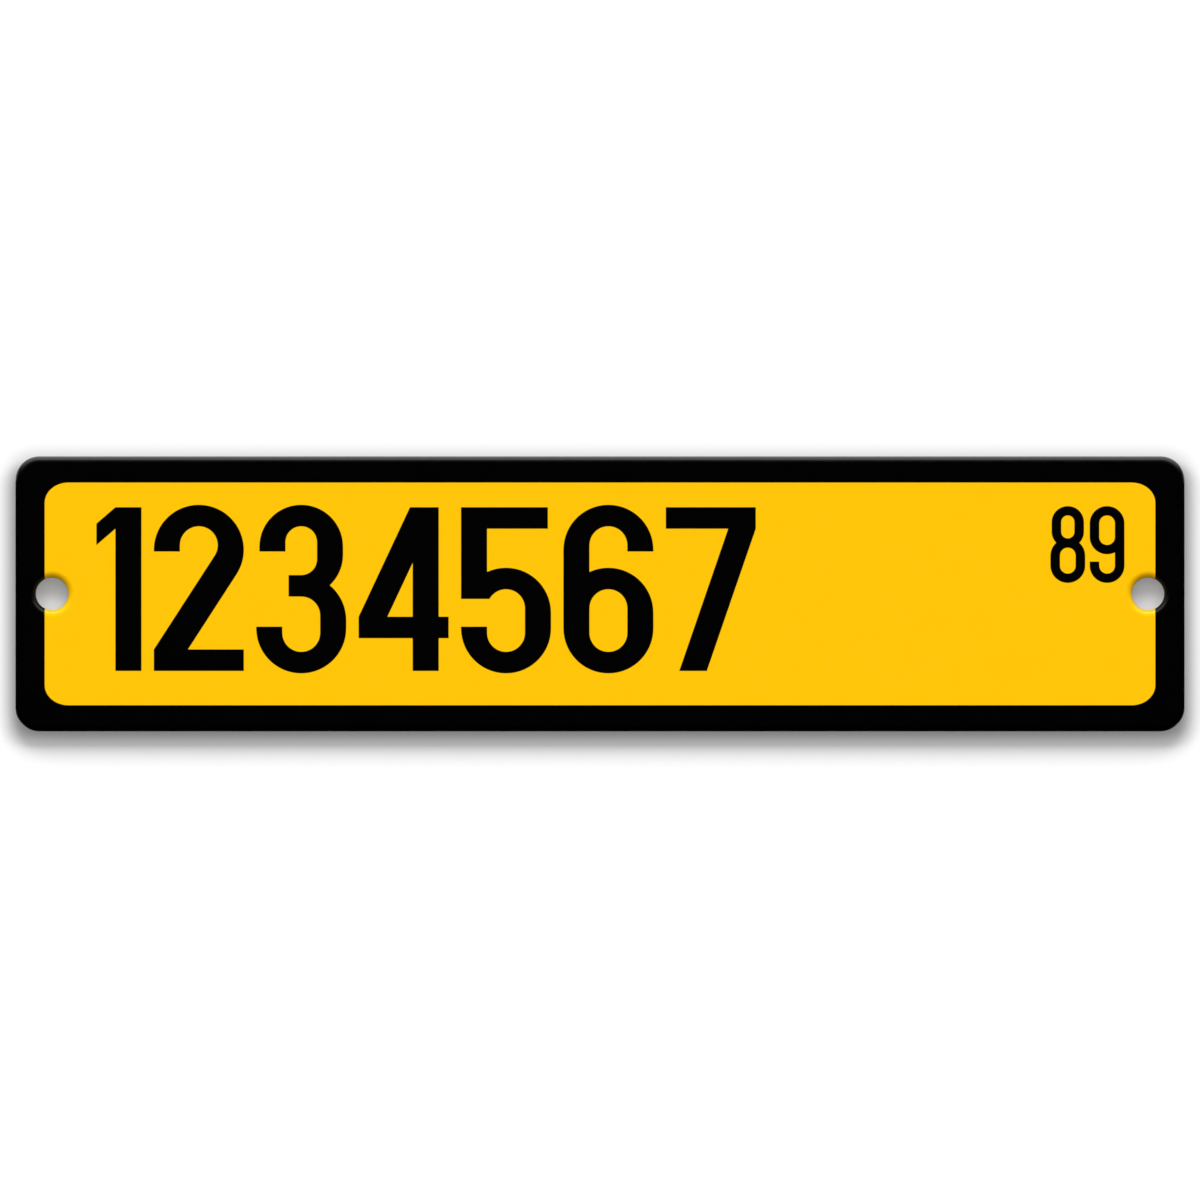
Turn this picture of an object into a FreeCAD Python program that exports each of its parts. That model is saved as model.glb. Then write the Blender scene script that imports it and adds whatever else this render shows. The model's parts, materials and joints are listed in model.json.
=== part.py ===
import FreeCAD, Part
import math
import os

# A street name sign: a flat metal blade with rounded corners, two holes and a printed face.
# Lengths are in millimetres. The blade is drawn lying on its back, as it lies on the bench where it is
# cut and printed, and each finished piece is then stood up. Standing, X runs along the sign, Z is up and
# the face looks along -Y. The origin is on the back face, midway between the two holes.

# The sheet, measured over its coat
SIGN_LENGTH = 431.8
SIGN_HEIGHT = 101.6
SHEET_THICKNESS = 3.2
CORNER_RADIUS = 8.8
EDGE_LAND = 0.6  # straight cut edge left behind the rolled-over rim
ROLL_RADIUS = SHEET_THICKNESS - EDGE_LAND

# The two holes, on the centre line
HOLE_DIAMETER = 12.0
HOLE_INSET = 13.5  # from the end of the sign to the hole's centre
HOLE_X = SIGN_LENGTH / 2 - HOLE_INSET
RIM_RADIUS = HOLE_DIAMETER / 2 + ROLL_RADIUS  # where the flat face begins round a hole

# The coat on the face and its two fields of colour
COAT_THICKNESS = 0.1
BORDER_AT_ENDS = 10.9
BORDER_TOP_AND_BOTTOM = 9.7
FIELD_CORNER_ALONG = 8.8
FIELD_CORNER_UP = 7.4
FIELD_LENGTH = SIGN_LENGTH - 2 * BORDER_AT_ENDS
FIELD_HEIGHT = SIGN_HEIGHT - 2 * BORDER_TOP_AND_BOTTOM

# The figures printed over the yellow field
INK_THICKNESS = 0.05
FIGURE_TOP_MARGIN = 9.1  # from the field's top edge to the top of every figure

NAME_CLEARANCE = 7.9  # from the left hole's rim to the first figure
NAME_BOTTOM_MARGIN = 12.7
NAME_HEIGHT = FIELD_HEIGHT - FIGURE_TOP_MARGIN - NAME_BOTTOM_MARGIN
NAME_FIGURE_WIDTH = 33.2
NAME_GAP = 4.6
NAME_UPRIGHT_STROKE = 9.6
NAME_LEVEL_STROKE = 7.9
NAME_OVERSHOOT = 0.9  # round figures pass the flat ones by this much, top and bottom

SUFFIX_CLEARANCE = 0.2  # from the last figure to the right hole's rim
SUFFIX_HEIGHT = 27.5
SUFFIX_FIGURE_WIDTH = 12.8
SUFFIX_GAP = 1.7
SUFFIX_UPRIGHT_STROKE = 3.5
SUFFIX_LEVEL_STROKE = 3.4
SUFFIX_OVERSHOOT = 0.4

# Proportions of the figures of both sizes, as shares of a figure's height
WAIST = 0.52  # middle of the waist of an 8 or a 3
BOWL_HEIGHT = 0.63  # round part of a 2, 5 or 6
TERMINAL = 0.27  # cut end of an open stroke, from the top or the bottom
HEEL = 0.44  # foot of the upright of a 5
SIX_OPENING = 0.33  # underside of the opening of a 6, hidden in its bowl
CROSSBAR = 0.20  # underside of the crossbar of a 4
FLAG_DROP = 0.10  # fall of the flag of a 1

# The same, as shares of a figure's width
ONE_WIDTH = 0.5
TOP_INSET = 0.035  # how far the top of an 8, 3 or 5 stands in from its foot, on each side
WAIST_STUB = 0.36  # left end of the waist of a 3
CROSSBAR_TAIL = 0.11  # what sticks out past the upright of a 4
SEVEN_FOOT = 0.15  # left end of the foot of a 7

UP = FreeCAD.Vector(0, 0, 1)
ALONG = FreeCAD.Vector(1, 0, 0)
TOUCHING = 1e-6  # points nearer than this are one point


class Lettering:
    """The sizes that every figure of one line is drawn to."""

    def __init__(self, height, width, gap, upright, level, overshoot):
        self.height = height
        self.width = width
        self.gap = gap
        self.upright = upright
        self.level = level
        self.overshoot = overshoot


# Outlines

def point(x, y):
    return FreeCAD.Vector(x, y, 0)


def path(*corners):
    """Straight edges through the corners in order; two corners in one place have none between them."""
    points = [point(x, y) for x, y in corners]
    return [Part.makeLine(a, b) for a, b in zip(points, points[1:]) if not a.isEqual(b, TOUCHING)]


def polygon(*corners):
    return path(*corners, corners[0])


def circle_arc(x, y, radius, start, end):
    """Arc about (x, y), anticlockwise from start to end in radians."""
    return Part.ArcOfCircle(Part.Circle(point(x, y), UP, radius), start, end).toShape()


def quarter(x, y, along, up, start):
    """Quarter turn about (x, y), anticlockwise from start, circular where along and up are the same."""
    if math.isclose(along, up):
        return circle_arc(x, y, along, start, start + math.pi / 2)
    ellipse = Part.Ellipse(point(x, y), max(along, up), min(along, up))
    if up > along:
        ellipse.rotate(FreeCAD.Placement(point(0, 0), FreeCAD.Rotation(UP, 90), point(x, y)))
        start -= math.pi / 2
    return Part.ArcOfEllipse(ellipse, start, start + math.pi / 2).toShape()


def rounded_outline(x0, y0, x1, y1, along, up):
    """Box from (x0, y0) to (x1, y1) whose corners are quarter turns."""
    return [
        quarter(x1 - along, y1 - up, along, up, 0),
        *path((x1 - along, y1), (x0 + along, y1)),
        quarter(x0 + along, y1 - up, along, up, math.pi / 2),
        *path((x0, y1 - up), (x0, y0 + up)),
        quarter(x0 + along, y0 + up, along, up, math.pi),
        *path((x0 + along, y0), (x1 - along, y0)),
        quarter(x1 - along, y0 + up, along, up, 3 * math.pi / 2),
        *path((x1, y0 + up), (x1, y1 - up)),
    ]


def arch(x0, x1, top, radius, start):
    """Edges from the angle start on the right round, over the top, to the left side at its round's foot."""
    return [
        circle_arc(x1 - radius, top - radius, radius, start, math.pi / 2),
        *path((x1 - radius, top), (x0 + radius, top)),
        circle_arc(x0 + radius, top - radius, radius, math.pi / 2, math.pi),
    ]


def prism(edges, thickness):
    """Solid of the given thickness over a closed outline, standing on the level z = 0."""
    wire = Part.Wire(Part.__sortEdges__(edges))
    return Part.Face(wire).extrude(UP * thickness)


# Parts of a figure, each as thick as the ink

def block(x0, y0, x1, y1):
    return Part.makeBox(x1 - x0, y1 - y0, INK_THICKNESS, point(x0, y0))


def oval(x0, y0, x1, y1):
    radius = min(x1 - x0, y1 - y0) / 2
    return prism(rounded_outline(x0, y0, x1, y1, radius, radius), INK_THICKNESS)


def bowl(pen, x0, y0, x1, y1):
    """Closed round stroke that fills the box from (x0, y0) to (x1, y1)."""
    counter = oval(x0 + pen.upright, y0 + pen.level, x1 - pen.upright, y1 - pen.level)
    return oval(x0, y0, x1, y1).cut(counter)


def slant(left_foot, foot, right_top, top, thickness):
    """Sloping stroke with level ends, its foot starting at left_foot and its top ending at right_top."""
    reach = right_top - left_foot
    steepness = (thickness / (top - foot)) ** 2
    # the width of a level cut through the stroke solves a quadratic equation
    a = 1 - steepness
    b = 2 * steepness * reach
    c = -(thickness**2 + steepness * reach**2)
    level_cut = (-b + math.sqrt(b * b - 4 * a * c)) / (2 * a)
    edges = polygon(
        (left_foot, foot),
        (left_foot + level_cut, foot),
        (right_top, top),
        (right_top - level_cut, top),
    )
    return prism(edges, INK_THICKNESS)


def joined(*strokes):
    """One solid from strokes that run into each other."""
    return strokes[0].fuse(list(strokes[1:])).removeSplitter()


# The figures, each drawn from x = 0 on the base line y = 0

def one(pen):
    """An upright with a short flag, whose outer end is cut upright."""
    width = width_of_one(pen)
    flag_width = width - pen.upright
    flag_end = pen.height * (1 - FLAG_DROP)
    flag = polygon(
        (0, flag_end),
        (0, flag_end - pen.level),
        (flag_width, pen.height - pen.level),
        (flag_width, pen.height),
    )
    return joined(block(flag_width, 0, width, pen.height), prism(flag, INK_THICKNESS))


def two(pen):
    """A round top that runs straight down into a flat base."""
    top = pen.height + pen.overshoot
    outer = min(pen.width, pen.height * BOWL_HEIGHT) / 2
    inner = outer - pen.upright
    round_x = pen.width - outer
    outer_y = top - outer
    inner_y = top - pen.level - inner
    terminal = min(pen.height * (1 - TERMINAL), outer_y, inner_y)
    # the upper edge of the slope leaves the base's top left corner and touches the inner round
    rise = inner_y - pen.level
    slope = math.atan2(rise, round_x) - math.asin(inner / math.hypot(round_x, rise))
    touch = slope - math.pi / 2
    outer_touch = (round_x + outer * math.cos(touch), outer_y + outer * math.sin(touch))
    inner_touch = (round_x + inner * math.cos(touch), inner_y + inner * math.sin(touch))
    slope_foot = outer_touch[0] - (outer_touch[1] - pen.level) / math.tan(slope)
    base = [(0, pen.level), (0, 0), (pen.width, 0), (pen.width, pen.level)]
    edges = [
        *arch(0, pen.width, top, outer, touch),
        *path((0, outer_y), (0, terminal), (pen.upright, terminal), (pen.upright, inner_y)),
        *arch(pen.upright, pen.width - pen.upright, top - pen.level, inner, touch),
        *path(inner_touch, *base, (slope_foot, pen.level), outer_touch),
    ]
    return prism(edges, INK_THICKNESS)


def three(pen):
    """An 8 that is open on the left, with a short bar at its waist."""
    middle = pen.width / 2
    waist = pen.height * WAIST
    opening = block(0, pen.height * TERMINAL, middle, pen.height * (1 - TERMINAL))
    bar = block(pen.width * WAIST_STUB, waist - pen.level / 2, middle, waist + pen.level / 2)
    return joined(eight(pen).cut(opening), bar)


def four(pen):
    upright_right = pen.width * (1 - CROSSBAR_TAIL)
    crossbar = pen.height * CROSSBAR
    return joined(
        block(upright_right - pen.upright, 0, upright_right, pen.height),
        block(0, crossbar, pen.width, crossbar + pen.level),
        slant(0, crossbar + pen.level, upright_right, pen.height, pen.upright),
    )


def five(pen):
    heel = pen.height * HEEL
    opening = block(0, pen.height * TERMINAL, pen.width / 2, heel)
    return joined(
        lower_bowl(pen).cut(opening),
        block(0, heel, pen.upright, pen.height),
        block(0, pen.height - pen.level, pen.width * (1 - TOP_INSET), pen.height),
    )


def six(pen):
    """A tall round open on the right, closed below by a bowl."""
    tall = bowl(pen, 0, -pen.overshoot, pen.width, pen.height + pen.overshoot)
    opening_foot = pen.height * SIX_OPENING
    opening = block(pen.width / 2, opening_foot, pen.width, pen.height * (1 - TERMINAL))
    return joined(tall.cut(opening), lower_bowl(pen))


def lower_bowl(pen):
    """The bowl that a 5 and a 6 stand on."""
    return bowl(pen, 0, -pen.overshoot, pen.width, pen.height * BOWL_HEIGHT)


def seven(pen):
    return joined(
        block(0, pen.height - pen.level, pen.width, pen.height),
        slant(pen.width * SEVEN_FOOT, 0, pen.width, pen.height - pen.level, pen.upright),
    )


def eight(pen):
    waist = pen.height * WAIST
    inset = pen.width * TOP_INSET
    return joined(
        bowl(pen, 0, -pen.overshoot, pen.width, waist + pen.level / 2),
        bowl(pen, inset, waist - pen.level / 2, pen.width - inset, pen.height + pen.overshoot),
    )


def nine(pen):
    """A 6 turned upside down."""
    return six(pen).rotated(point(pen.width / 2, pen.height / 2), UP, 180)


def width_of_one(pen):
    return pen.width * ONE_WIDTH


def figure_width(figure, pen):
    return width_of_one(pen) if figure is one else pen.width


def line_length(figures, pen):
    return sum(figure_width(figure, pen) for figure in figures) + pen.gap * (len(figures) - 1)


def line_of_figures(figures, pen, left, base):
    """The figures side by side on the front of the coat, from x = left and on y = base."""
    solids = []
    for figure in figures:
        place = FreeCAD.Vector(left, base, SHEET_THICKNESS)
        solids.append(figure(pen).translated(place))
        left += figure_width(figure, pen) + pen.gap
    return Part.makeCompound(solids)


def name_figures():
    """The large figures, at the left and as high as their margins leave."""
    pen = Lettering(
        NAME_HEIGHT,
        NAME_FIGURE_WIDTH,
        NAME_GAP,
        NAME_UPRIGHT_STROKE,
        NAME_LEVEL_STROKE,
        NAME_OVERSHOOT,
    )
    left = -HOLE_X + RIM_RADIUS + NAME_CLEARANCE
    base = -FIELD_HEIGHT / 2 + NAME_BOTTOM_MARGIN
    return line_of_figures([one, two, three, four, five, six, seven], pen, left, base)


def suffix_figures():
    """The small figures, at the right and level with the top of the large ones."""
    pen = Lettering(
        SUFFIX_HEIGHT,
        SUFFIX_FIGURE_WIDTH,
        SUFFIX_GAP,
        SUFFIX_UPRIGHT_STROKE,
        SUFFIX_LEVEL_STROKE,
        SUFFIX_OVERSHOOT,
    )
    figures = [eight, nine]
    left = HOLE_X - RIM_RADIUS - SUFFIX_CLEARANCE - line_length(figures, pen)
    base = FIELD_HEIGHT / 2 - FIGURE_TOP_MARGIN - SUFFIX_HEIGHT
    return line_of_figures(figures, pen, left, base)


# The blade

def centred_prism(length, height, along, up, thickness):
    """Plate about the origin, its corners rounded off by along and up."""
    edges = rounded_outline(-length / 2, -height / 2, length / 2, height / 2, along, up)
    return prism(edges, thickness)


def drilled_plate(inset, thickness):
    """Plate that lies the inset inside the sign's outline and outside its two holes."""
    radius = CORNER_RADIUS - inset
    plate = centred_prism(SIGN_LENGTH - 2 * inset, SIGN_HEIGHT - 2 * inset, radius, radius, thickness)
    for x in (-HOLE_X, HOLE_X):
        plate = plate.cut(Part.makeCylinder(HOLE_DIAMETER / 2 + inset, thickness, point(x, 0), UP))
    return plate


def rolled_sheet(skin):
    """The sheet with its front rims rolled over, less a skin of the given thickness off its face."""
    thickness = SHEET_THICKNESS - skin
    sheet = drilled_plate(skin, thickness)
    rims = [edge for edge in sheet.Edges if edge.BoundBox.ZMin > thickness - EDGE_LAND / 2]
    return sheet.makeFillet(ROLL_RADIUS - skin, rims)


def aluminium_blank():
    """Bare sheet: the land at its back is full size, and the rest leaves room for the coat."""
    return drilled_plate(0, EDGE_LAND).fuse(rolled_sheet(COAT_THICKNESS)).removeSplitter()


def stand_up(shape):
    return shape.rotated(point(0, 0), ALONG, 90)


blank = aluminium_blank()
coat = rolled_sheet(0).cut(blank)
yellow_area = centred_prism(
    FIELD_LENGTH, FIELD_HEIGHT, FIELD_CORNER_ALONG, FIELD_CORNER_UP, SHEET_THICKNESS
)

PIECES = {
    "aluminium_blank": blank,
    "black_border": coat.cut(yellow_area),
    "yellow_field": coat.common(yellow_area),
    "name_figures": name_figures(),
    "suffix_figures": suffix_figures(),
}

os.makedirs("parts", exist_ok=True)
for name, shape in PIECES.items():
    stand_up(shape).exportStep("parts/" + name + ".step")
    print(f"{name}: {len(shape.Solids)} solids, {shape.Volume:.1f} cubic mm, valid {shape.isValid()}")
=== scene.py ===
import contextlib
import json
import math

import bmesh
import bpy
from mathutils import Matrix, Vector


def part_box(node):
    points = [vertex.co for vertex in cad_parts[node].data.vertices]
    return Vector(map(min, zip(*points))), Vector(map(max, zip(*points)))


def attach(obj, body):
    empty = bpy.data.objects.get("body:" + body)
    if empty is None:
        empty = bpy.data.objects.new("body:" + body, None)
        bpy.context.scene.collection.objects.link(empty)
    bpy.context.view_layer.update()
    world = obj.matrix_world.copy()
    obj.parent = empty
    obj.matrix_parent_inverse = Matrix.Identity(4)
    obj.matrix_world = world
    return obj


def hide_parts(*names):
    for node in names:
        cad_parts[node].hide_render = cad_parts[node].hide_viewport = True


# The looks of a street name sign. Metres, in the frame of the CAD model: X runs along the sign, Z is up,
# the printed face looks along -Y and the bare back lies in the plane y = 0.

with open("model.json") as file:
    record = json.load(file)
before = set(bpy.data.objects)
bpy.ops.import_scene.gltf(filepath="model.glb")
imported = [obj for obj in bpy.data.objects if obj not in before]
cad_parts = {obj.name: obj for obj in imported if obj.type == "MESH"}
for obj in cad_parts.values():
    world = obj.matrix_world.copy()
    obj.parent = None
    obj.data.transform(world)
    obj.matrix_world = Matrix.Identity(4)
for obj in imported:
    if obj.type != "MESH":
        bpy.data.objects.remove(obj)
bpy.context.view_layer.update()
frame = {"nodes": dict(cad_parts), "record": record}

MM = 0.001

# Levels and sizes that the frame gives
blank_low, blank_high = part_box("aluminium_blank")
coat_low, coat_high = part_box("black_border")
field_low, field_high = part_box("yellow_field")
holes = next(mount for mount in frame["record"]["mounts"] if mount["name"] == "mounting_holes")

BACK = blank_high.y
LAND = coat_high.y  # where the straight cut edge ends and the rolled rim begins
FACE = coat_low.y
COAT = blank_low.y - coat_low.y  # how thick the coat is
ROLL = LAND - FACE  # radius of the rolled rims
LENGTH = blank_high.x - blank_low.x
HEIGHT = blank_high.z - blank_low.z
FIELD_LENGTH = field_high.x - field_low.x
FIELD_HEIGHT = field_high.z - field_low.z
HOLE_X = holes["dims"]["spacing_x_mm"] * MM / 2
HOLE_RADIUS = holes["dims"]["hole_r_mm"] * MM

# Rounded corners, seen from the front
CORNER = 8.8 * MM
FIELD_CORNER_ALONG = 8.8 * MM
FIELD_CORNER_UP = 7.4 * MM

# How finely the rounds are cut
CORNER_STEPS = 20
ROLL_STEPS = 10
HOLE_SIDES = 96
SMOOTHED = math.radians(30)  # edges flatter than this are smoothed over

# Workshop measures
PAST = 2 * MM  # how far a cutting tool stands out of the work
NEAR = MM / 1000  # what lies closer than this is in one place
SQUARE_ON = 0.999  # cosine of the most that an edge square to the face may lean
FORWARD = 0.01  # cosine above which a face looks forwards, below that of the first step of a roll
FLAT_FACES_FIRST = 100  # weight of large faces where normals are evened

# The cured film of the coat and of the ink
FILM_IOR = 1.5
PEEL_GRAIN = 1.4 * MM
PEEL_DEPTH = 0.002 * MM
PATTERN_LOW, PATTERN_HIGH = 0.25, 0.75  # between which nearly all of a soft pattern lies

# The photograph, which sees the sign square on and from far off
PHOTO_SIDE = 1200  # pixels
PHOTO_SCALE = 2707.0  # pixels to the metre
SIGN_ROW = 593.9  # pixel row of the sign's middle
LENS = 400.0  # millimetres, as the sensor's width is
SENSOR = 36.0
VIEW_SIDE = PHOTO_SIDE / PHOTO_SCALE
CAMERA_DISTANCE = VIEW_SIDE * LENS / SENSOR
CAMERA_HEIGHT = (SIGN_ROW - PHOTO_SIDE / 2) / PHOTO_SCALE

# The room
WALL_GAP = 4.86 * MM  # from the sign's back to the wall
FLOOR_HEIGHT = -0.25
SKY_BLEND = 0.5  # sine of the angle below and above the level at which the sky stops changing

# The board that widens the shadow, and how far it goes past the sign or stays clear of a hole
BOARD_GAP = 0.33 * MM
BOARD_THICKNESS = 0.1 * MM
BOARD_PAST_ENDS = 2.84 * MM
BOARD_PAST_TOP = 2.63 * MM
BOARD_PAST_FOOT = 1.73 * MM
BOARD_CLEAR_OF_HOLE = 0.3 * MM
DRILL_LENGTH = 10 * MM

# The cards close to the sign's own edges
RIM_CARD_WIDTH = 0.4
FOOT_CARD_HEIGHT = 0.3
CARD_CLEAR_OF_RIM = 1 * MM
CARD_BEHIND_BACK = 2 * MM
HOLE_CARD_CLEARANCE = 0.05 * MM  # to the hole's wall and to the plane of the back

# Directions, and the turns given to a sheet that is made lying on the floor
FACING_FRONT = Vector((0, -1, 0))
LYING = (0, 0, 0)
UPRIGHT = (math.pi / 2, 0, 0)  # faces the front
SIDEWAYS = (math.pi / 2, 0, math.pi / 2)  # faces along the sign

# The kinds of ray that may see a piece of the studio
RAYS = ("camera", "diffuse", "glossy", "transmission", "volume_scatter", "shadow")
GLOSS_ONLY = ("glossy",)


# Handwork

def take_up(piece):
    """Leave one piece selected and active."""
    bpy.ops.object.select_all(action="DESELECT")
    piece.select_set(True)
    bpy.context.view_layer.objects.active = piece


@contextlib.contextmanager
def editing(piece):
    """Edit mode on one piece, and object mode again when the work on it is done."""
    take_up(piece)
    bpy.ops.object.mode_set(mode="EDIT")
    yield
    bpy.ops.object.mode_set(mode="OBJECT")


def settle(piece):
    """Put the object's place, turn and scale into its mesh."""
    take_up(piece)
    bpy.ops.object.transform_apply(location=True, rotation=True, scale=True)


def name_it(piece, name):
    """Give a piece and its mesh one name."""
    piece.name = name
    piece.data.name = name
    return piece


def begin(name, add_primitive, **shape):
    """Begin a new piece as a primitive."""
    bpy.ops.object.select_all(action="DESELECT")
    add_primitive(**shape)
    return name_it(bpy.context.object, name)


def copy_of(piece, name):
    """A copy with a mesh of its own."""
    take_up(piece)
    bpy.ops.object.duplicate(linked=False)
    return name_it(bpy.context.object, name)


def select_only(piece, kind, wanted):
    """In edit mode, select the faces or the edges that pass the test, and nothing else."""
    mesh = bmesh.from_edit_mesh(piece.data)
    bpy.ops.mesh.select_mode(type=kind)
    bpy.ops.mesh.select_all(action="DESELECT")
    elements = mesh.faces if kind == "FACE" else mesh.edges
    for element in elements:
        if wanted(element):
            element.select_set(True)
    bmesh.update_edit_mesh(piece.data)


def lies_at(level):
    """A test for the faces or edges that lie in one level of the sheet."""
    return lambda element: all(abs(corner.co.y - level) < NEAR for corner in element.verts)


def runs_through(edge):
    """Whether an edge is square to the sign's face."""
    start, end = edge.verts
    return abs((end.co - start.co).normalized().dot(FACING_FRONT)) > SQUARE_ON


def looks_away(face):
    """Whether a face belongs to the back or to a straight wall."""
    return face.normal.dot(FACING_FRONT) < FORWARD


def modify(piece, kind, **settings):
    """Shape a piece with a modifier, and apply it."""
    take_up(piece)
    modifier = piece.modifiers.new(kind.lower(), kind)
    for setting, value in settings.items():
        setattr(modifier, setting, value)
    bpy.ops.object.modifier_apply(modifier=modifier.name)


def cut(piece, tool, operation="DIFFERENCE"):
    """Cut a piece with a tool that stays as it was."""
    modify(piece, "BOOLEAN", operation=operation, solver="MANIFOLD", object=tool)


def scrap(tool):
    """Throw away a tool that has done its work."""
    bpy.data.objects.remove(tool, do_unlink=True)


def join(piece, other):
    """Make two pieces one object."""
    take_up(piece)
    other.select_set(True)
    bpy.ops.object.join()


# Shapes

def rounded_plate(name, length, height, along, up, back, front):
    """A plate between two levels, its corners rounded by along on the length and by up on the height."""
    squeeze = up / along
    plate = begin(name, bpy.ops.mesh.primitive_cube_add, size=1, location=(0, (back + front) / 2, 0))
    plate.scale = (length, back - front, height / squeeze)
    settle(plate)
    with editing(plate):
        select_only(plate, "EDGE", runs_through)
        bpy.ops.mesh.bevel(
            offset=along, segments=CORNER_STEPS, profile=0.5, affect="EDGES", clamp_overlap=False
        )
    plate.scale = (1, 1, squeeze)
    settle(plate)
    return plate


def quarter_roll(radius):
    """The steps of a quarter turn from a wall to a level: how far to go in or out, and how far forwards."""
    turn = math.pi / 2 / ROLL_STEPS
    for step in range(ROLL_STEPS):
        start = step * turn
        end = (step + 1) * turn
        yield radius * (math.cos(start) - math.cos(end)), radius * (math.sin(end) - math.sin(start))


def raise_face(plate, ledge, radius):
    """Step the front in by a ledge, raise it round a quarter turn, and leave it open at its new level."""
    with editing(plate):
        select_only(plate, "FACE", lies_at(LAND))
        if ledge:
            bpy.ops.mesh.inset(thickness=ledge, depth=0, use_even_offset=True)
        for inwards, forwards in quarter_roll(radius):
            bpy.ops.mesh.inset(thickness=inwards, depth=forwards, use_even_offset=True)
        bpy.ops.mesh.delete(type="FACE")


def hole_wall(x, ledge, radius):
    """The wall of one hole, drawn forwards from the back. It flares out by a ledge and a quarter turn."""
    wall = begin(
        "hole_wall",
        bpy.ops.mesh.primitive_circle_add,
        vertices=HOLE_SIDES,
        radius=HOLE_RADIUS,
        location=(x, BACK, 0),
        rotation=UPRIGHT,
    )
    settle(wall)
    steps = [(0, BACK - LAND)]
    if ledge:
        steps.append((ledge, 0))
    steps.extend(quarter_roll(radius))
    with editing(wall):
        bpy.ops.mesh.select_mode(type="EDGE")
        bpy.ops.mesh.select_all(action="SELECT")
        reach = HOLE_RADIUS
        for outwards, forwards in steps:
            grown = (reach + outwards) / reach
            reach += outwards
            bpy.ops.mesh.extrude_region_move(TRANSFORM_OT_translate={"value": (0, -forwards, 0)})
            bpy.ops.transform.resize(value=(grown, 1, grown), center_override=(x, 0, 0))
    return wall


def rolled_sheet(name, ledge):
    """The sheet with its two holes and its rolled front rims, less a skin that is as thick as the ledge."""
    sheet = rounded_plate(name, LENGTH, HEIGHT, CORNER, CORNER, BACK, LAND)
    raise_face(sheet, ledge, ROLL - ledge)
    for x in (-HOLE_X, HOLE_X):
        join(sheet, hole_wall(x, ledge, ROLL - ledge))
    with editing(sheet):
        select_only(sheet, "FACE", lies_at(BACK))
        bpy.ops.mesh.delete(type="FACE")
        # the back and the face, each filled in between the outline and the holes
        for level in (BACK, FACE + ledge):
            select_only(sheet, "EDGE", lies_at(level))
            bpy.ops.mesh.fill()
        bpy.ops.mesh.select_all(action="SELECT")
        bpy.ops.mesh.normals_make_consistent(inside=False)
    return sheet


def coat_skin():
    """The coat over the whole face and round its rims, equally thick all over."""
    skin = rolled_sheet("coat", ledge=0)
    with editing(skin):
        select_only(skin, "FACE", looks_away)
        bpy.ops.mesh.delete(type="FACE")
    modify(skin, "SOLIDIFY", thickness=COAT, offset=-1, use_even_offset=True)
    return skin


def smooth_rims(piece):
    """Smooth the rolled rims, with the flat face kept flat up to where they begin."""
    with editing(piece):
        bpy.ops.mesh.select_all(action="SELECT")
        bpy.ops.mesh.remove_doubles(threshold=NEAR)
        bpy.ops.mesh.normals_make_consistent(inside=False)
    bpy.ops.object.shade_smooth_by_angle(angle=SMOOTHED)
    modify(piece, "WEIGHTED_NORMAL", keep_sharp=True, weight=FLAT_FACES_FIRST)


# Finishes

class Finish:
    """A procedural material, whose patterns are laid out in the sign's own metres."""

    def __init__(self, name, **sockets):
        self.material = bpy.data.materials.new(name)
        self.material.use_nodes = True
        self.tree = self.material.node_tree
        self.shader = self.tree.nodes["Principled BSDF"]
        for socket, value in sockets.items():
            self.shader.inputs[socket].default_value = value
        self.place = self.tree.nodes.new("ShaderNodeTexCoord").outputs["Object"]

    def link(self, source, target):
        self.tree.links.new(source, target)

    def pattern(self, grain, stretch=(1, 1, 1), detail=3.0):
        """A soft random pattern whose grains are that long, in metres, before the stretch."""
        mapping = self.tree.nodes.new("ShaderNodeMapping")
        mapping.inputs["Scale"].default_value = [1 / (grain * longer) for longer in stretch]
        self.link(self.place, mapping.inputs["Vector"])
        noise = self.tree.nodes.new("ShaderNodeTexNoise")
        noise.inputs["Scale"].default_value = 1
        noise.inputs["Detail"].default_value = detail
        self.link(mapping.outputs["Vector"], noise.inputs["Vector"])
        return noise.outputs["Fac"]

    def colour(self, pattern, low, high):
        """A colour that goes from low to high with the pattern."""
        mix = self.tree.nodes.new("ShaderNodeMix")
        mix.data_type = "RGBA"
        mix.inputs["A"].default_value = (*low, 1)
        mix.inputs["B"].default_value = (*high, 1)
        self.link(pattern, mix.inputs["Factor"])
        self.link(mix.outputs["Result"], self.shader.inputs["Base Color"])

    def roughness(self, pattern, low, high):
        """A gloss that goes from low roughness to high with the pattern."""
        spread = self.tree.nodes.new("ShaderNodeMapRange")
        spread.inputs["From Min"].default_value = PATTERN_LOW
        spread.inputs["From Max"].default_value = PATTERN_HIGH
        spread.inputs["To Min"].default_value = low
        spread.inputs["To Max"].default_value = high
        self.link(pattern, spread.inputs["Value"])
        self.link(spread.outputs["Result"], self.shader.inputs["Roughness"])

    def relief(self, pattern, depth):
        """Fine relief, that many metres deep."""
        bump = self.tree.nodes.new("ShaderNodeBump")
        bump.inputs["Distance"].default_value = depth
        self.link(pattern, bump.inputs["Height"])
        self.link(bump.outputs["Normal"], self.shader.inputs["Normal"])

    def peel(self):
        """The faint unevenness of a cured film."""
        self.relief(self.pattern(PEEL_GRAIN, detail=2), depth=PEEL_DEPTH)


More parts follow.
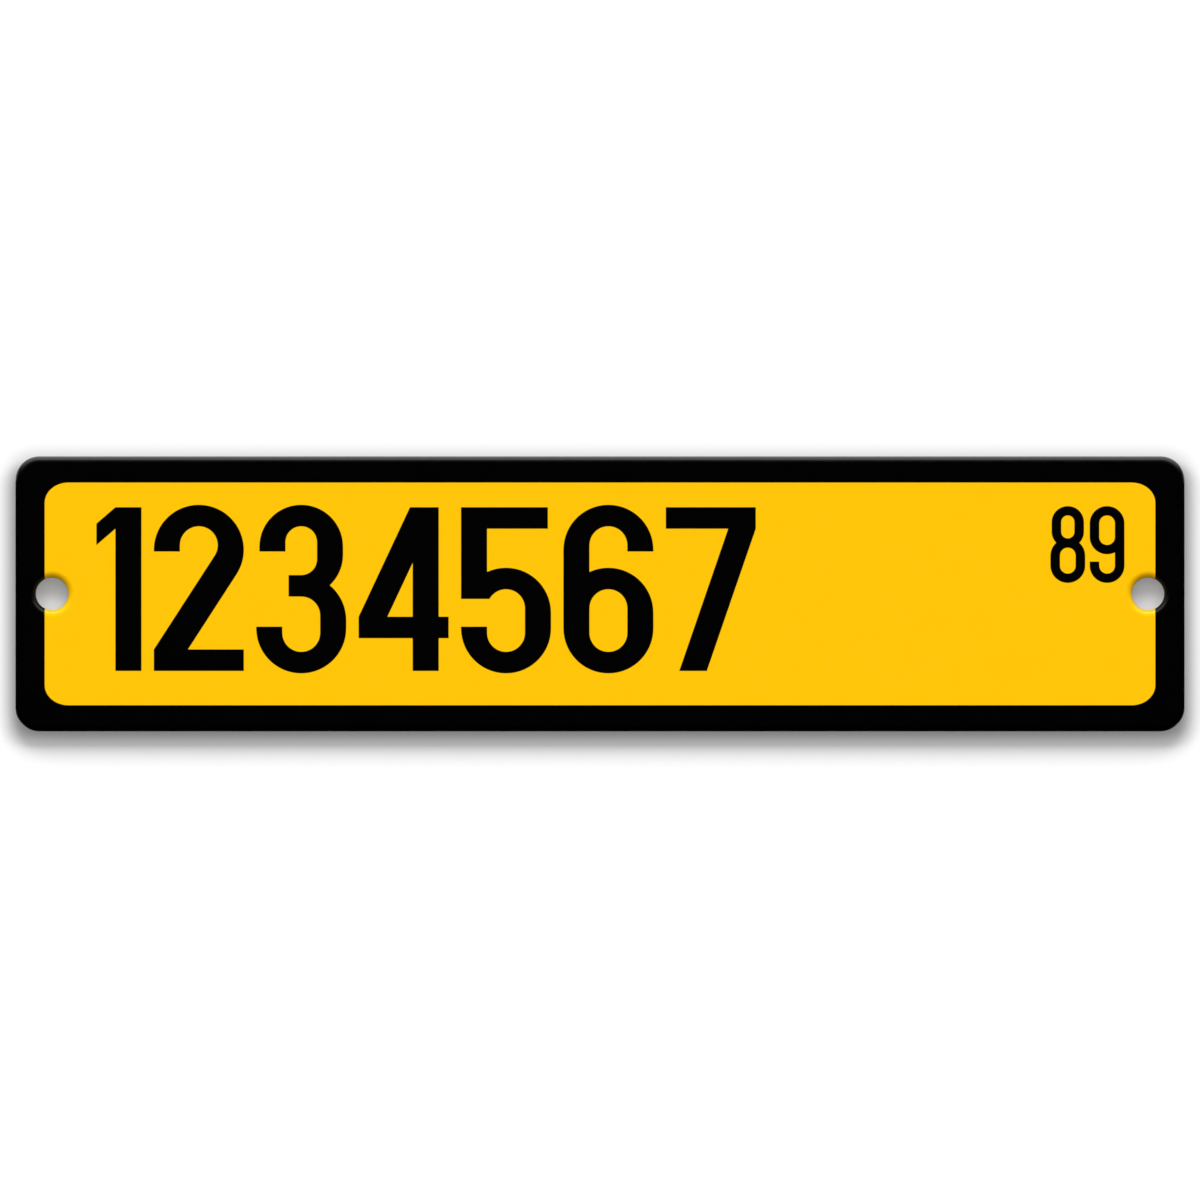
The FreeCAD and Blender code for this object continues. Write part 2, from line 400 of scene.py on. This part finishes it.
def satin_black(name, gloss_grain):
    """Deep black coat or ink, whose gloss varies a little over the length of the grain."""
    finish = Finish(name, IOR=FILM_IOR)
    tint = finish.pattern(grain=3 * MM)
    finish.colour(tint, low=(0.0001, 0.0001, 0.0001), high=(0.0005, 0.0004, 0.0004))
    finish.roughness(finish.pattern(gloss_grain), low=0.31, high=0.37)
    finish.peel()
    return finish.material


def traffic_yellow():
    """Strong yellow coat, mottled so faintly that it looks even from a step away."""
    finish = Finish("yellow_coat_film", IOR=FILM_IOR)
    mottle = finish.pattern(grain=9 * MM, detail=5)
    finish.colour(mottle, low=(0.984, 0.535, 0.0002), high=(0.99, 0.549, 0.0004))
    finish.roughness(finish.pattern(grain=5 * MM), low=0.1, high=0.14)
    finish.peel()
    return finish.material


def mill_aluminium():
    """Bare rolled sheet, with the mill's grain running along the sign."""
    finish = Finish("mill_aluminium", Metallic=1.0)
    scratches = finish.pattern(grain=0.35 * MM, stretch=(180, 40, 1), detail=6)
    streaks = finish.pattern(grain=2.4 * MM, stretch=(60, 8, 1))
    finish.colour(streaks, low=(0.6, 0.61, 0.62), high=(0.74, 0.75, 0.76))
    finish.roughness(scratches, low=0.24, high=0.44)
    finish.relief(scratches, depth=0.012 * MM)
    return finish.material


def dress(piece, material):
    """Give a piece one finish all over."""
    piece.data.materials.clear()
    piece.data.materials.append(material)


# The sign

def coat_fields():
    """The coat, cut along the outline of the field into its black border and its yellow field."""
    coat = coat_skin()
    field_tool = rounded_plate(
        "field_tool",
        FIELD_LENGTH,
        FIELD_HEIGHT,
        FIELD_CORNER_ALONG,
        FIELD_CORNER_UP,
        BACK + PAST,
        FACE - PAST,
    )
    field = copy_of(coat, "yellow_coat")
    cut(field, field_tool, "INTERSECT")
    border = name_it(coat, "black_coat")
    cut(border, field_tool)
    scrap(field_tool)
    return border, field


def make_sign():
    """The sheet and the two fields of its coat, made anew, and a finish for the figures on it."""
    border_finish = satin_black("black_coat_film", gloss_grain=5 * MM)
    ink_finish = satin_black("black_ink_film", gloss_grain=2 * MM)
    field_finish = traffic_yellow()
    sheet_finish = mill_aluminium()

    sheet = rolled_sheet("bare_sheet", ledge=COAT)
    border, field = coat_fields()
    for piece, node, slot, finish in (
        (sheet, "aluminium_blank", "bare_aluminium", sheet_finish),
        (border, "black_border", "black_coat", border_finish),
        (field, "yellow_field", "yellow_coat", field_finish),
    ):
        smooth_rims(piece)
        dress(piece, finish)
        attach(piece, "root")
        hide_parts(node)
    for node in ("name_figures", "suffix_figures"):
        dress(frame["nodes"][node], ink_finish)


# The room and its light

def flat_finish(name, colour, glow=0.0, shine=0.0):
    """An even finish for the studio, which may glow white."""
    material = bpy.data.materials.new(name)
    material.use_nodes = True
    shader = material.node_tree.nodes["Principled BSDF"]
    shader.inputs["Base Color"].default_value = (*colour, 1)
    shader.inputs["Roughness"].default_value = 1
    shader.inputs["Specular IOR Level"].default_value = shine
    shader.inputs["Emission Color"].default_value = (1, 1, 1, 1)
    shader.inputs["Emission Strength"].default_value = glow
    return material


def dark_finish(name, glow=0.0):
    """Black that may glow, and that lights nothing as a lamp does: it shows only where a ray meets it."""
    material = flat_finish(name, colour=(0, 0, 0), glow=glow)
    material.cycles.emission_sampling = "NONE"
    return material


def one_sided(material):
    """Let the back of a card be looked through."""
    tree = material.node_tree
    output = tree.nodes["Material Output"]
    clear = tree.nodes.new("ShaderNodeBsdfTransparent")
    side = tree.nodes.new("ShaderNodeNewGeometry")
    mix = tree.nodes.new("ShaderNodeMixShader")
    front, back = mix.inputs[1], mix.inputs[2]
    tree.links.new(side.outputs["Backfacing"], mix.inputs["Fac"])
    tree.links.new(tree.nodes["Principled BSDF"].outputs["BSDF"], front)
    tree.links.new(clear.outputs["BSDF"], back)
    tree.links.new(mix.outputs["Shader"], output.inputs["Surface"])
    return material


def put_on_stage(piece, material, seen_by):
    """Make a piece part of the studio, seen only by the kinds of ray that are named."""
    dress(piece, material)
    for ray in RAYS:
        setattr(piece, "visible_" + ray, ray in seen_by)


def card(name, material, size, place, turn, seen_by=GLOSS_ONLY):
    """A flat card of the studio."""
    sheet = begin(name, bpy.ops.mesh.primitive_plane_add, size=1, location=place, rotation=turn)
    sheet.scale = (*size, 1)
    settle(sheet)
    put_on_stage(sheet, material, seen_by)


def wall():
    """The white wall close behind the sign, which takes its shadow."""
    paint = one_sided(flat_finish("wall_paint", colour=(0.864, 0.864, 0.864), glow=0.125))
    place = (0, BACK + WALL_GAP, 0)
    card("wall", paint, size=(1.2, 1.0), place=place, turn=UPRIGHT, seen_by=("camera", "diffuse"))


def floor():
    """A pale floor below the sign."""
    pale = flat_finish("pale_floor", colour=(0.8, 0.8, 0.79), shine=0.2)
    place = (0, 0, FLOOR_HEIGHT)
    card("floor", pale, size=(14, 14), place=place, turn=LYING, seen_by=("camera", "glossy"))


def shadow_board():
    """A black board close behind the sign. It widens the shadow and hides the bare back from the wall."""
    front = BACK + BOARD_GAP
    board = rounded_plate(
        "shadow_board",
        LENGTH + 2 * BOARD_PAST_ENDS,
        HEIGHT + BOARD_PAST_TOP + BOARD_PAST_FOOT,
        CORNER,
        CORNER,
        front + BOARD_THICKNESS,
        front,
    )
    board.location.z = (BOARD_PAST_TOP - BOARD_PAST_FOOT) / 2
    settle(board)
    for x in (-HOLE_X, HOLE_X):
        drill = begin(
            "drill",
            bpy.ops.mesh.primitive_cylinder_add,
            vertices=HOLE_SIDES,
            radius=HOLE_RADIUS + BOARD_CLEAR_OF_HOLE,
            depth=DRILL_LENGTH,
            location=(x, 0, 0),
            rotation=UPRIGHT,
        )
        cut(board, drill)
        scrap(drill)
    put_on_stage(board, dark_finish("shadow_board_black"), ("diffuse", "shadow"))


def dark_cards():
    """Black cards in front of the sign, below it and at its sides, for the face and its rims to mirror."""
    black = dark_finish("dark_card")
    card("front_card", black, size=(3.2, 2.5), place=(0, -1.5, 1.0), turn=UPRIGHT)
    card("under_card", black, size=(3.2, 1.7), place=(0, -0.7, FLOOR_HEIGHT + 0.05), turn=LYING)
    for side in (-1, 1):
        card("side_card", black, size=(1.7, 0.65), place=(side * 0.6, -0.7, 0.025), turn=SIDEWAYS)

    # close beside the sign and below it, for the steepest part of its rims
    depth = BACK + CARD_BEHIND_BACK
    across = LENGTH / 2 + CARD_CLEAR_OF_RIM + RIM_CARD_WIDTH / 2
    down = HEIGHT / 2 + CARD_CLEAR_OF_RIM + FOOT_CARD_HEIGHT / 2
    for side in (-1, 1):
        place = (side * across, depth, -CORNER)
        card("rim_card", black, size=(RIM_CARD_WIDTH, HEIGHT), place=place, turn=UPRIGHT)
    card("foot_card", black, size=(1.2, FOOT_CARD_HEIGHT), place=(0, depth, -down), turn=UPRIGHT)


def hole_cards():
    """Dim round cards that close the holes at the back, so that nothing bright shows in their rims: their
    faint glow is a painted reflection of the shaded wall there, and their black is painted shade on the
    rims' soft light.
    """
    # painted reflection and painted shade for the hole rims: a faint glow on black, seen only by gloss and
    # soft light
    dim = one_sided(dark_finish("hole_glow", glow=0.08))
    for x in (-HOLE_X, HOLE_X):
        disc = begin(
            "hole_card",
            bpy.ops.mesh.primitive_circle_add,
            vertices=HOLE_SIDES,
            radius=HOLE_RADIUS - HOLE_CARD_CLEARANCE,
            fill_type="NGON",
            location=(x, BACK - HOLE_CARD_CLEARANCE, 0),
            rotation=UPRIGHT,
        )
        settle(disc)
        put_on_stage(disc, dim, ("glossy", "diffuse"))


def overhead_softbox():
    """The bright card overhead, which the upper rims mirror."""
    glow = dark_finish("softbox", glow=2.0)
    card("softbox", glow, size=(1.6, 1.0), place=(0, 0.1, 0.9), turn=LYING)


def sun(name, azimuth, elevation, strength, width):
    """A broad lamp far off, so many degrees to the reader's right of straight ahead and above the level."""
    bpy.ops.object.light_add(type="SUN")
    lamp = bpy.context.object
    lamp.name = name
    lamp.data.energy = strength
    lamp.data.angle = math.radians(width)
    lamp.visible_glossy = False
    across = math.radians(azimuth)
    above = math.radians(elevation)
    level = math.cos(above)
    towards = Vector((math.sin(across) * level, -math.cos(across) * level, math.sin(above)))
    lamp.rotation_euler = towards.to_track_quat("Z", "Y").to_euler()


def sky(low, high):
    """White to the eye and in gloss. What it lights softly gets more from above than from below."""
    world = bpy.data.worlds.new("studio")
    bpy.context.scene.world = world
    world.use_nodes = True
    # never sampled as a lamp, because only a ray that meets the sky tells gloss from soft light
    world.cycles.sampling_method = "NONE"
    tree = world.node_tree
    path = tree.nodes.new("ShaderNodeLightPath")
    seen = path.outputs["Is Camera Ray"]
    for kind in ("Is Glossy Ray", "Is Transmission Ray"):
        either = tree.nodes.new("ShaderNodeMath")
        either.operation = "MAXIMUM"
        tree.links.new(seen, either.inputs[0])
        tree.links.new(path.outputs[kind], either.inputs[1])
        seen = either.outputs["Value"]
    place = tree.nodes.new("ShaderNodeTexCoord")
    parts = tree.nodes.new("ShaderNodeSeparateXYZ")
    tree.links.new(place.outputs["Generated"], parts.inputs["Vector"])
    rise = tree.nodes.new("ShaderNodeMapRange")
    rise.inputs["From Min"].default_value = -SKY_BLEND
    rise.inputs["From Max"].default_value = SKY_BLEND
    rise.inputs["To Min"].default_value = low
    rise.inputs["To Max"].default_value = high
    tree.links.new(parts.outputs["Z"], rise.inputs["Value"])
    strength = tree.nodes.new("ShaderNodeMix")
    strength.inputs["B"].default_value = 1
    tree.links.new(seen, strength.inputs["Factor"])
    tree.links.new(rise.outputs["Result"], strength.inputs["A"])
    background = tree.nodes["Background"]
    background.inputs["Color"].default_value = (1, 1, 1, 1)
    tree.links.new(strength.outputs["Result"], background.inputs["Strength"])


def light_the_room():
    """Soft light, at a level where a colour renders about as it is written."""
    sky(low=0.276, high=0.8)
    for azimuth in (-34.7, 34.7):
        sun("side_key", azimuth, elevation=45, strength=0.827, width=24)
    sun("high_key", azimuth=0, elevation=53, strength=1.22, width=30)


def set_camera():
    """The photograph's view, square on to the sign."""
    data = bpy.data.cameras.new("camera")
    data.lens = LENS
    data.sensor_width = SENSOR
    camera = bpy.data.objects.new("camera", data)
    camera.location = (0, BACK - CAMERA_DISTANCE, CAMERA_HEIGHT)
    camera.rotation_euler = UPRIGHT
    bpy.context.scene.collection.objects.link(camera)
    bpy.context.scene.camera = camera


# The whole scene

make_sign()
wall()
floor()
shadow_board()
dark_cards()
hole_cards()
overhead_softbox()
light_the_room()
set_camera()
bpy.context.scene.view_settings.view_transform = "Standard"
